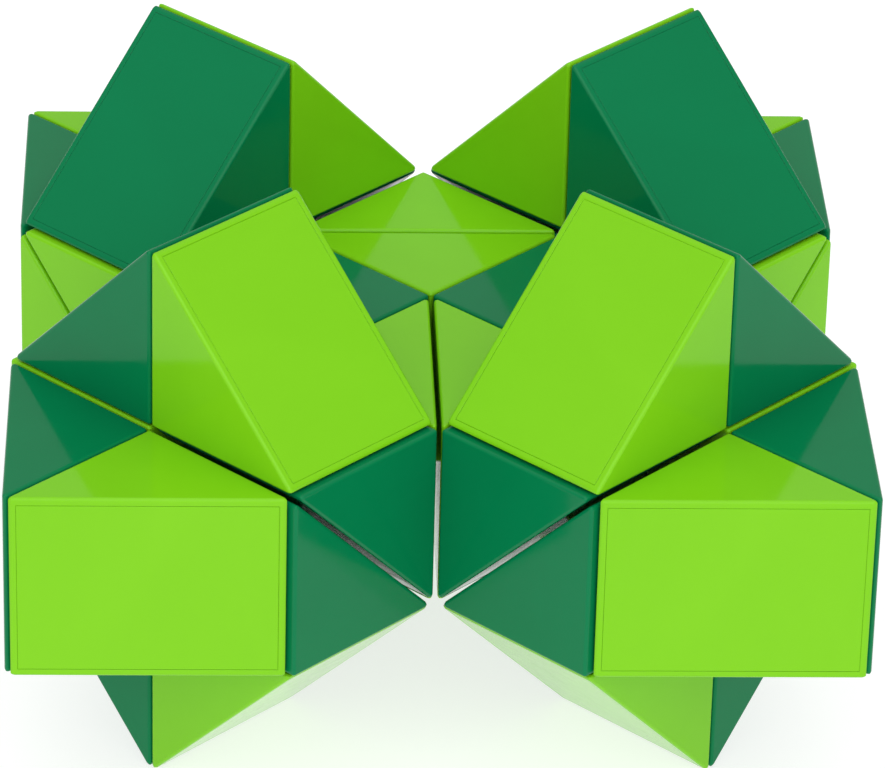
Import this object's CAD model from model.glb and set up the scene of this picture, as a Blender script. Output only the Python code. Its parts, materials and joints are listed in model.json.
"""A twisty snake puzzle of 48 wedges, folded into a four-armed figure.

Each wedge is rebuilt with rounded edges as up to four pieces that ride on its body: a moulded
shell, a cover plate over its slanted face, the bolt that it turns on and the spring for the next
pivot. Meshes are drawn in millimetres in a wedge's own axes, where x points out of its entry face
and y out of its exit face, and are then scaled to metres.
"""

import json
import math

import bmesh
import bpy
from mathutils import Matrix, Vector

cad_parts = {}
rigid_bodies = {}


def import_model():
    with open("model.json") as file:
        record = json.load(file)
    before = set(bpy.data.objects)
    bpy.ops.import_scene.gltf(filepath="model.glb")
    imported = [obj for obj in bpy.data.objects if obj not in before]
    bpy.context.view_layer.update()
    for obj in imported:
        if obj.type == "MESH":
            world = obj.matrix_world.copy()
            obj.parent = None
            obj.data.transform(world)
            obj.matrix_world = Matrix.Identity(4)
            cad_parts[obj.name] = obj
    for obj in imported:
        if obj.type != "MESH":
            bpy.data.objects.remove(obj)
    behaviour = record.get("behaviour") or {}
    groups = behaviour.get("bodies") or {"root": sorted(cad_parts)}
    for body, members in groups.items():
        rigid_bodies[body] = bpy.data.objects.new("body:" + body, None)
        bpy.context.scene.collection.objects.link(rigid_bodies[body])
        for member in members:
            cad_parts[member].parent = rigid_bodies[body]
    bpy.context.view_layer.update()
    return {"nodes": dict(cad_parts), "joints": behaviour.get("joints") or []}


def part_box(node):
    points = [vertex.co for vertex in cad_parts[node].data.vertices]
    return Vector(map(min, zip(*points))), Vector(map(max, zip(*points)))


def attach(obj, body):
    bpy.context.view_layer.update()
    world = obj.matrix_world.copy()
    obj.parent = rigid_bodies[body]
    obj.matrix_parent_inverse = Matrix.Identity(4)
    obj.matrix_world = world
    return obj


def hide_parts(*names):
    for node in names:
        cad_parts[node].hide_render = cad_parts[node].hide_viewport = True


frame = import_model()

MM = 0.001
ROOT2 = math.sqrt(2)


# ---------------------------------------------------------------- places, from the frame


def link_number(body):
    return int(body.split("_")[1])


def read_pivots():
    """Pivot n joins link n to link n + 1: its place and axis direction, up to a sign."""
    found = {}
    for joint in frame["joints"]:
        n = min(link_number(joint["parent"]), link_number(joint["child"]))
        found[n] = (Vector(joint["pos_m"]), Vector(joint["axis"]))
    return found


def facing(axis, way):
    """axis, turned round if it points against way."""
    return axis if axis.dot(way) > 0 else -axis


def end_direction(node, centre, joined):
    """The free face of an end wedge points to where its box is heaviest, off its joined face."""
    low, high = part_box(node)
    lean = (low + high) / 2 - centre
    lean -= lean.dot(joined) * joined
    return lean.normalized()


def read_links(pivots):
    """For each link, the middle of its cube and the directions of its entry and exit faces."""
    last = max(pivots) + 1
    links = {}
    for n in range(2, last):
        (entry_at, entry_axis), (exit_at, exit_axis) = pivots[n - 1], pivots[n]
        way = exit_at - entry_at
        entry = facing(entry_axis, -way)
        links[n] = (entry_at - entry * HALF, entry, facing(exit_axis, way))

    exit_way = -links[2][1]
    centre = pivots[1][0] - exit_way * HALF
    links[1] = (centre, end_direction("link_01_shell", centre, exit_way), exit_way)

    entry_way = -links[last - 1][2]
    centre = pivots[last - 1][0] - entry_way * HALF
    links[last] = (centre, entry_way, end_direction("link_48_shell", centre, entry_way))
    return links


def placing(link):
    """The matrix that takes a wedge's own axes to its place."""
    centre, entry, exit_ = link
    turn = Matrix((entry, exit_, entry.cross(exit_))).transposed()
    return Matrix.Translation(centre) @ turn.to_4x4()


PIVOTS = read_pivots()
# A wedge's two faces meet the next ones half a pitch from its middle, at right angles
HALF = (PIVOTS[2][0] - PIVOTS[1][0]).length / ROOT2
PITCH = 2 * HALF
LINKS = read_links(PIVOTS)

# ---------------------------------------------------------------- sizes of a wedge, millimetres

HALF_MM = HALF / MM
JOINT_GAP = 0.15
# From the middle to a square or triangular face
FACE = HALF_MM - JOINT_GAP / 2
# From the middle to the slanted face
SLANT_V = 0.2
WALL = 1.5

# Roundings: of the two thin edges, of the other edges, and the steps in each
SHARP_R = 0.84
EDGE_R = 0.3
EDGE_STEPS = 6

# The cover plate, the shell's rim round it and the seam between them
RIM = 0.7
END_RIM = 0.45
EDGE_FLAT = 0.4
COVER_T = 1.0
COVER_GAP = 0.03
COVER_R = 0.04
LIP = 0.02

PEG_R = 0.8
PEG_LEN = 2.4
SOCKET_R = 1.6
SOCKET_BITE = 0.5
SOCKET_FLOOR = 1

BOLT_R = 1.1
BOLT_CLEARANCE = 0.08
HEAD_R = 2.2
HEAD_H = 0.8
HEAD_ROUND = 0.15
RECESS_W = 0.5
THREAD_LEN = 3.6
TIP_LEN = 0.4
TIP_R = 0.75
BOSS_R = 2.3
BOSS_LEN = 2.4
SEAT_DEPTH = 0.5

SPRING_LEN = 2.4
COIL_R = 1.75
COIL_TURNS = 2.5
COIL_STEPS = 32
WIRE_R = 0.2
WIRE_SIDES = 10

# Clearance of pieces that are pressed or screwed together
SLACK = 0.02
# How far a cut runs past the surface that it opens
PAST = 1
ROUND_STEPS = 40
SMOOTH_BELOW = math.radians(35)

# Where the slanted face's plane meets a square face's plane, along x and along u
SHARP_TIP = SLANT_V * ROOT2 - FACE
APEX_U = ROOT2 * FACE - SLANT_V
COVER_U = APEX_U - EDGE_FLAT * ROOT2 - END_RIM
COVER_Z = FACE - RIM
WALL_IN = FACE - WALL
SEAT = WALL_IN + SEAT_DEPTH
HEAD_UNDER = SEAT - SPRING_LEN
SOCKET_Z = WALL_IN - SOCKET_R + SOCKET_BITE

# From u along the slanted face and v inwards from it to a wedge's own axes
SLANT_AXES = Matrix.Rotation(-math.pi / 4, 4, "Z") @ Matrix.Translation((0, SLANT_V, 0))
# From z along a pivot to a wedge's own axes, for its entry face and for its exit face
ENTRY_AXES = Matrix.Rotation(math.pi / 2, 4, "Y")
EXIT_AXES = Matrix.Rotation(-math.pi / 2, 4, "X")
# Cosine and sine of the four quarter turns
QUARTERS = ((1, 0), (0, 1), (-1, 0), (0, -1))

# ---------------------------------------------------------------- mesh tools


def mesh_from(bm, name):
    mesh = bpy.data.meshes.new(name)
    bmesh.ops.recalc_face_normals(bm, faces=bm.faces)
    bm.to_mesh(mesh)
    bm.free()
    return mesh


def loft(rings, name, place=None):
    """A closed solid through rings of the same number of points, capped at both ends."""
    bm = bmesh.new()
    made = [[bm.verts.new(p) for p in ring] for ring in rings]
    count = len(made[0])
    for low, high in zip(made, made[1:]):
        for k in range(count):
            bm.faces.new((low[k], low[(k + 1) % count], high[(k + 1) % count], high[k]))
    bm.faces.new(made[0])
    bm.faces.new(made[-1])
    mesh = mesh_from(bm, name)
    if place is not None:
        mesh.transform(place)
    return mesh


def prism(outline, half, name):
    return loft([[(x, y, z) for x, y in outline] for z in (-half, half)], name)


def slab(steps, name):
    """A four-sided plug in the slanted face's axes; steps are (v, half length, half height)."""
    corners = ((-1, -1), (1, -1), (1, 1), (-1, 1))
    rings = [[(a * u, v, b * z) for a, b in corners] for v, u, z in steps]
    return loft(rings, name, SLANT_AXES)


def round_angles(steps):
    return [2 * math.pi * k / steps for k in range(steps)]


def turned(profile, name, place):
    """A solid of revolution about z through (radius, height) points, with flat ends."""
    turns = round_angles(ROUND_STEPS)
    rings = [[(r * math.cos(t), r * math.sin(t), h) for t in turns] for r, h in profile]
    return loft(rings, name, place)


def cylinder(radius, low, high, name, place):
    return turned([(radius, low), (radius, high)], name, place)


def evaluated(obj):
    """obj's mesh with its modifiers applied; obj itself is removed."""
    graph = bpy.context.evaluated_depsgraph_get()
    mesh = bpy.data.meshes.new_from_object(obj.evaluated_get(graph))
    bpy.data.objects.remove(obj)
    return mesh


def linked(mesh):
    obj = bpy.data.objects.new(mesh.name, mesh)
    bpy.context.scene.collection.objects.link(obj)
    return obj


def combine(base, operation, *others):
    """Boolean of meshes, one after another."""
    for other in others:
        obj, tool = linked(base), linked(other)
        step = obj.modifiers.new("combine", "BOOLEAN")
        step.operation = operation
        step.solver = "EXACT"
        step.object = tool
        base = evaluated(obj)
        bpy.data.objects.remove(tool)
    return base


def finished(mesh, name):
    """Scales a drawing to metres and shades it, keeping its sharp edges."""
    mesh.name = name
    mesh.transform(Matrix.Scale(MM, 4))
    for face in mesh.polygons:
        face.use_smooth = True
    mesh.set_sharp_from_angle(angle=SMOOTH_BELOW)
    obj = linked(mesh)
    normals = obj.modifiers.new("normals", "WEIGHTED_NORMAL")
    normals.keep_sharp = True
    normals.weight = 100
    return evaluated(obj)


# ---------------------------------------------------------------- the pieces of a wedge


def rounded_wedge():
    """Half a cube with rounded edges: wide on its two thin edges, narrow on the others."""
    outline = [(FACE, FACE), (SHARP_TIP, FACE), (FACE, SHARP_TIP)]
    mesh = prism(outline, FACE, "wedge")
    weight = mesh.attributes.new("bevel_weight_edge", "FLOAT", "EDGE")
    for edge in mesh.edges:
        a, b = (mesh.vertices[v].co for v in edge.vertices)
        thin = abs(a.z - b.z) > FACE and min(a.x, a.y) < 0
        weight.data[edge.index].value = 1.0 if thin else EDGE_R / SHARP_R
    obj = linked(mesh)
    bevel = obj.modifiers.new("round", "BEVEL")
    bevel.limit_method = "WEIGHT"
    bevel.width = SHARP_R
    bevel.segments = EDGE_STEPS
    return evaluated(obj)


def pegs(radius, low, high):
    """Two posts square to the slanted face, near the wedge's two ends."""
    for side in (-1, 1):
        place = SLANT_AXES @ Matrix.Translation((0, 0, side * SOCKET_Z)) @ EXIT_AXES
        yield cylinder(radius, low, high, "peg", place)


def shell_mesh(name, has_entry, has_exit):
    """The hollow shell, with a boss for the bolt before it and a seat for its own bolt."""
    # The cavity starts half way down the cover plate's pocket, so that the two cuts overlap
    low = (SLANT_V + COVER_T / 2) * ROOT2 - WALL_IN
    cavity = prism([(WALL_IN, WALL_IN), (low, WALL_IN), (WALL_IN, low)], WALL_IN, "cavity")
    mesh = combine(rounded_wedge(), "DIFFERENCE", cavity)
    mesh = combine(mesh, "UNION", *pegs(SOCKET_R, COVER_T / 2, COVER_T + PEG_LEN + SOCKET_FLOOR))

    half_u = COVER_U + COVER_GAP
    half_z = COVER_Z + COVER_GAP
    steps = [
        (-PAST, half_u + LIP + PAST, half_z + LIP + PAST),
        (0, half_u + LIP, half_z + LIP),
        (LIP, half_u - LIP, half_z),
        (COVER_T, half_u - COVER_T, half_z),
    ]
    mesh = combine(mesh, "DIFFERENCE", slab(steps, "pocket"))
    mesh = combine(mesh, "DIFFERENCE", *pegs(PEG_R + SLACK, 0, COVER_T + PEG_LEN + SLACK))

    out = FACE + PAST
    if has_entry:
        boss_end = WALL_IN - BOSS_LEN
        boss = cylinder(BOSS_R, boss_end, WALL_IN + WALL / 2, "boss", ENTRY_AXES)
        thread = cylinder(BOLT_R + SLACK, boss_end - PAST, out, "thread", ENTRY_AXES)
        mesh = combine(combine(mesh, "UNION", boss), "DIFFERENCE", thread)
    if has_exit:
        bore = cylinder(BOLT_R + BOLT_CLEARANCE, WALL_IN - PAST, out, "bore", EXIT_AXES)
        seat = cylinder(HEAD_R + BOLT_CLEARANCE, WALL_IN - PAST, SEAT, "seat", EXIT_AXES)
        mesh = combine(mesh, "DIFFERENCE", bore, seat)
    return finished(mesh, name)


def cover_mesh(name):
    """The cover plate, with a rounded rim, bevelled ends and two pegs."""
    steps = []
    for k in range(EDGE_STEPS + 1):
        turn = math.pi / 2 * k / EDGE_STEPS
        v = COVER_R * (1 - math.cos(turn))
        inset = COVER_R * (1 - math.sin(turn))
        steps.append((v, COVER_U - v - inset, COVER_Z - inset))
    plate_t = COVER_T - SLACK
    steps.append((plate_t, COVER_U - plate_t, COVER_Z))
    plate = slab(steps, "plate")
    plate = combine(plate, "UNION", *pegs(PEG_R, plate_t / 2, plate_t + PEG_LEN))
    return finished(plate, name)


def bolt_mesh(name):
    """The pivot bolt, with a crowned head, a cross recess and a tapered tip."""
    head = HEAD_UNDER - HEAD_H
    end = HALF_MM + THREAD_LEN
    profile = [
        (HEAD_R / 2, head),
        (HEAD_R - HEAD_ROUND, head + HEAD_ROUND * 0.4),
        (HEAD_R, head + HEAD_ROUND * 1.6),
        (HEAD_R, HEAD_UNDER),
        (BOLT_R, HEAD_UNDER),
        (BOLT_R, end - TIP_LEN),
        (TIP_R, end),
    ]
    bolt = turned(profile, "bolt", EXIT_AXES)
    w = RECESS_W / 2
    corner = [(BOLT_R, w), (w, w), (w, BOLT_R)]
    cross = [(x * a - y * b, x * b + y * a) for a, b in QUARTERS for x, y in corner]
    rings = [[(x, y, head + z) for x, y in cross] for z in (-PAST, HEAD_H / 2)]
    return finished(combine(bolt, "DIFFERENCE", loft(rings, "recess", EXIT_AXES)), name)


def spring_mesh(name):
    """A wire of round section along a helix, with closed ends."""
    start = HEAD_UNDER + WIRE_R + SLACK
    rise = SPRING_LEN - 2 * (WIRE_R + SLACK)
    steps = int(COIL_TURNS * COIL_STEPS)
    rings = []
    for k in range(steps + 1):
        along = k / steps
        turn = 2 * math.pi * COIL_TURNS * along
        out = Vector((math.cos(turn), math.sin(turn), 0))
        middle = out * COIL_R + Vector((0, 0, start + rise * along))
        slope = rise / (2 * math.pi * COIL_R * COIL_TURNS)
        side = out.cross(Vector((-out.y, out.x, slope)).normalized())
        around = round_angles(WIRE_SIDES)
        rings.append([middle + WIRE_R * (math.cos(t) * out + math.sin(t) * side) for t in around])
    return finished(loft(rings, "coil", EXIT_AXES), name)


# ---------------------------------------------------------------- materials

# Each look's two tones, and how strongly each plastic mirrors the studio
LIGHT_GREEN = (0.194, 0.560, 0.008)
LIGHT_GREEN_DEEP = (0.186, 0.545, 0.007)
LIGHT_SHINE = 0.2
DARK_GREEN = (0.001, 0.181, 0.063)
DARK_GREEN_DEEP = (0.001, 0.173, 0.060)
DARK_SHINE = 0.14
ZINC = (0.62, 0.63, 0.65)
ZINC_DARK = (0.45, 0.46, 0.48)
ZINC_ROUGHNESS = 0.22
WIRE = (0.42, 0.42, 0.43)
WIRE_DARK = (0.25, 0.25, 0.26)
WIRE_ROUGHNESS = 0.3
FLOOR = (0.36, 0.36, 0.36)
FLOOR_DARK = (0.34, 0.34, 0.34)
FLOOR_GLOW = 0.74


def new_material(name):
    material = bpy.data.materials.new(name)
    material.use_nodes = True
    nodes = material.node_tree.nodes
    nodes.clear()
    output = nodes.new("ShaderNodeOutputMaterial")
    shader = nodes.new("ShaderNodeBsdfPrincipled")
    material.node_tree.links.new(shader.outputs["BSDF"], output.inputs["Surface"])
    return material, shader


def noise(material, scale, detail=2.0, roughness=0.5, stretch=(1, 1, 1)):
    """Noise in the piece's own metres; scale is in features per metre."""
    nodes, join = material.node_tree.nodes, material.node_tree.links.new
    place = nodes.new("ShaderNodeTexCoord")
    mapping = nodes.new("ShaderNodeMapping")
    mapping.inputs["Scale"].default_value = stretch
    texture = nodes.new("ShaderNodeTexNoise")
    texture.inputs["Scale"].default_value = scale
    texture.inputs["Detail"].default_value = detail
    texture.inputs["Roughness"].default_value = roughness
    join(place.outputs["Object"], mapping.inputs["Vector"])
    join(mapping.outputs["Vector"], texture.inputs["Vector"])
    return texture.outputs["Fac"]


def ramp(material, source, low, high):
    """Maps the middle of a noise's range to low..high."""
    node = material.node_tree.nodes.new("ShaderNodeMapRange")
    node.inputs["From Min"].default_value = 0.3
    node.inputs["From Max"].default_value = 0.7
    node.inputs["To Min"].default_value = low
    node.inputs["To Max"].default_value = high
    material.node_tree.links.new(source, node.inputs["Value"])
    return node.outputs["Result"]


def tinted(material, fac, first, second):
    """A mix of two colours, as fac goes from 0 to 1."""
    node = material.node_tree.nodes.new("ShaderNodeMix")
    node.data_type = "RGBA"
    node.inputs["A"].default_value = (*first, 1)
    node.inputs["B"].default_value = (*second, 1)
    material.node_tree.links.new(fac, node.inputs["Factor"])
    return node.outputs["Result"]


def bumped(material, layers):
    """Chains bump layers of (height source, distance in metres, strength)."""
    normal = None
    for height, distance, strength in layers:
        node = material.node_tree.nodes.new("ShaderNodeBump")
        node.inputs["Strength"].default_value = strength
        node.inputs["Distance"].default_value = distance
        material.node_tree.links.new(height, node.inputs["Height"])
        if normal is not None:
            material.node_tree.links.new(normal, node.inputs["Normal"])
        normal = node.outputs["Normal"]
    return normal


def glossy_plastic(name, colour, deep_colour, shine):
    """Moulded ABS: a clear gloss with flow marks, faint sink, fine haze and handling scratches."""
    material, shader = new_material(name)
    join = material.node_tree.links.new
    flow = noise(material, 120, 3, 0.55, (1, 1.6, 0.7))
    tone = tinted(material, ramp(material, flow, 0, 1), deep_colour, colour)
    join(tone, shader.inputs["Base Color"])
    haze = noise(material, 900, 5, 0.6)
    join(ramp(material, haze, 0.07, 0.14), shader.inputs["Roughness"])
    sink = noise(material, 70, 1, 0.4)
    grain = noise(material, 2600, 3, 0.6)
    scratches = noise(material, 500, 2, 0.5, (0.06, 1, 1))
    layers = ((sink, 0.00008, 0.35), (grain, 0.000004, 0.3), (scratches, 0.000004, 0.25))
    join(bumped(material, layers), shader.inputs["Normal"])
    shader.inputs["IOR"].default_value = 1.5
    shader.inputs["Specular IOR Level"].default_value = shine
    return material


def brushed_metal(name, colour, dark_colour, roughness):
    """Drawn or turned metal, with streaks along one way."""
    material, shader = new_material(name)
    join = material.node_tree.links.new
    streaks = noise(material, 1500, 4, 0.6, (1, 0.15, 1))
    tone = tinted(material, ramp(material, streaks, 0, 1), dark_colour, colour)
    join(tone, shader.inputs["Base Color"])
    join(ramp(material, streaks, roughness, roughness + 0.15), shader.inputs["Roughness"])
    join(bumped(material, ((streaks, 0.00001, 0.4),)), shader.inputs["Normal"])
    shader.inputs["Metallic"].default_value = 1.0
    return material


def floor_material():
    """A sheet of white card that glows a little, so that its shadows stay faint."""
    material, shader = new_material("studio_floor")
    tone = tinted(material, noise(material, 6, 3), FLOOR_DARK, FLOOR)
    material.node_tree.links.new(tone, shader.inputs["Base Color"])
    shader.inputs["Roughness"].default_value = 0.85
    shader.inputs["Emission Color"].default_value = (1, 1, 1, 1)
    shader.inputs["Emission Strength"].default_value = FLOOR_GLOW
    return material


# ---------------------------------------------------------------- building the puzzle


def add_piece(number, part, mesh, slot, material):
    """Places one piece of a wedge. Its bolt is drawn in the axes of the wedge before it."""
    body = f"link_{number:02d}"
    own_node = f"{body}_{part}"
    obj = linked(mesh)
    obj.name = f"{own_node}_piece"
    obj.matrix_world = placing(LINKS[number - 1 if part == "bolt" else number])
    if not mesh.materials:
        mesh.materials.append(material)
    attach(obj, body)
    # Most wedges are one CAD node, and a few have a node for each piece
    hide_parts(own_node if own_node in frame["nodes"] else body)


def build_puzzle():
    light = glossy_plastic("light_green_abs", LIGHT_GREEN, LIGHT_GREEN_DEEP, LIGHT_SHINE)
    dark = glossy_plastic("dark_green_abs", DARK_GREEN, DARK_GREEN_DEEP, DARK_SHINE)
    plastics = (("dark_green", dark), ("light_green", light))
    bolt_metal = brushed_metal("zinc_plated_steel", ZINC, ZINC_DARK, ZINC_ROUGHNESS)
    wire_metal = brushed_metal("spring_steel", WIRE, WIRE_DARK, WIRE_ROUGHNESS)
    bolt = bolt_mesh("bolt")
    spring = spring_mesh("spring")
    last = max(LINKS)
    shells, covers = {}, {}
    for number in range(1, last + 1):
        slot, plastic = plastics[number % 2]
        kind = (slot, number > 1, number < last)
        if kind not in shells:
            shells[kind] = shell_mesh(f"shell_{slot}_{number}", number > 1, number < last)
        if slot not in covers:
            covers[slot] = cover_mesh(f"cover_{slot}")
        add_piece(number, "shell", shells[kind], slot, plastic)
        add_piece(number, "cover", covers[slot], slot, plastic)
        if number > 1:
            add_piece(number, "bolt", bolt, "bolt_steel", bolt_metal)
        if number < last:
            add_piece(number, "spring", spring, "spring_steel", wire_metal)


# ---------------------------------------------------------------- studio and camera

# The camera's angles from level and square on to the front, and its distances in pitches
VIEW_AZIMUTH = math.radians(-2.51)
VIEW_ELEVATION = math.radians(28.61)
VIEW_ROLL = math.radians(1.49)
VIEW_DISTANCE = 30.25
VIEW_AIM = Vector((0.070, 0, -0.023))
VIEW_LENS = 239.8
SENSOR_WIDTH = 36

KEY_POWER = 1.0
KEY_SIZE = (0.9, 0.6)
KEY_AT = Vector((-0.62, -0.62, 0.75))
KEY_AIM = Vector((0, 0, 0.025))

FLOOR_HALF = 6
# Just under the puzzle's feet
FLOOR_Z = -0.0002

BRIGHT_WAY = Vector((-0.6, -0.6, 1.0))
DIM = 0.6
BRIGHT = 1.7
# The room darkens towards both sides, from SIDE_FROM to SIDE_TO of the way round
SIDE_WAY = Vector((1, -1, 0))
SIDE_FROM = 0.35
SIDE_TO = 0.9
SIDE_DIM = 0.45


def add_camera():
    """The camera looks between the two front arms, from far away through a long lens."""
    right_arm = Vector((1, -1, 0)).normalized()
    away = Vector((1, 1, 0)).normalized()
    axes = Matrix((right_arm, away, Vector((0, 0, 1)))).transposed()
    middle = Vector((0, 0, LINKS[1][0].z))
    level = math.cos(VIEW_ELEVATION)
    ahead = Vector(
        (
            -math.sin(VIEW_AZIMUTH) * level,
            math.cos(VIEW_AZIMUTH) * level,
            -math.sin(VIEW_ELEVATION),
        )
    )
    right = Vector((math.cos(VIEW_AZIMUTH), math.sin(VIEW_AZIMUTH), 0))
    up = right.cross(ahead)
    tilted_right = right * math.cos(VIEW_ROLL) + up * math.sin(VIEW_ROLL)
    tilted_up = up * math.cos(VIEW_ROLL) - right * math.sin(VIEW_ROLL)

    data = bpy.data.cameras.new("camera")
    data.lens = VIEW_LENS
    data.sensor_width = SENSOR_WIDTH
    data.clip_start = PITCH
    data.clip_end = PITCH * VIEW_DISTANCE * 10
    camera = bpy.data.objects.new("camera", data)
    bpy.context.scene.collection.objects.link(camera)
    turn = Matrix((axes @ tilted_right, axes @ tilted_up, -(axes @ ahead))).transposed()
    place = middle + axes @ (VIEW_AIM - ahead * VIEW_DISTANCE) * PITCH
    camera.matrix_world = Matrix.Translation(place) @ turn.to_4x4()
    bpy.context.scene.camera = camera


def add_key_light():
    """A soft box above the camera's side."""
    data = bpy.data.lights.new("key", "AREA")
    data.shape = "RECTANGLE"
    data.size, data.size_y = KEY_SIZE
    data.energy = KEY_POWER
    lamp = bpy.data.objects.new("key", data)
    bpy.context.scene.collection.objects.link(lamp)
    lamp.location = KEY_AT
    lamp.rotation_mode = "QUATERNION"
    lamp.rotation_quaternion = (KEY_AT - KEY_AIM).to_track_quat("Z", "Y")


def add_floor():
    bm = bmesh.new()
    bmesh.ops.create_grid(bm, x_segments=8, y_segments=8, size=FLOOR_HALF)
    floor = linked(mesh_from(bm, "studio_floor"))
    floor.location = (0, 0, FLOOR_Z)
    floor.data.materials.append(floor_material())


def add_room():
    """A white room, brightest above the camera's side and dimmest at the two sides."""
    world = bpy.data.worlds.new("studio")
    world.use_nodes = True
    nodes, join = world.node_tree.nodes, world.node_tree.links.new
    place = nodes.new("ShaderNodeTexCoord").outputs["Generated"]
    ends = ("From Min", "From Max", "To Min", "To Max")

    def along(way):
        node = nodes.new("ShaderNodeVectorMath")
        node.operation = "DOT_PRODUCT"
        node.inputs[1].default_value = way.normalized()
        join(place, node.inputs[0])
        return node.outputs["Value"]

    def mapped(source, *values):
        node = nodes.new("ShaderNodeMapRange")
        node.interpolation_type = "SMOOTHSTEP"
        for name, value in zip(ends, values):
            node.inputs[name].default_value = value
        join(source, node.inputs["Value"])
        return node.outputs["Result"]

    def maths(operation, *sources):
        node = nodes.new("ShaderNodeMath")
        node.operation = operation
        for socket, source in zip(node.inputs, sources):
            join(source, socket)
        return node.outputs["Value"]

    lift = mapped(along(BRIGHT_WAY), 0, 1, DIM, BRIGHT)
    sideways = maths("ABSOLUTE", along(SIDE_WAY))
    sides = mapped(sideways, SIDE_FROM, SIDE_TO, 1, SIDE_DIM)
    join(maths("MULTIPLY", lift, sides), nodes["Background"].inputs["Strength"])
    nodes["Background"].inputs["Color"].default_value = (1, 1, 1, 1)
    bpy.context.scene.world = world
    bpy.context.scene.view_settings.view_transform = "Standard"


# ---------------------------------------------------------------- all of it


add_camera()
add_room()
add_key_light()
add_floor()
build_puzzle()
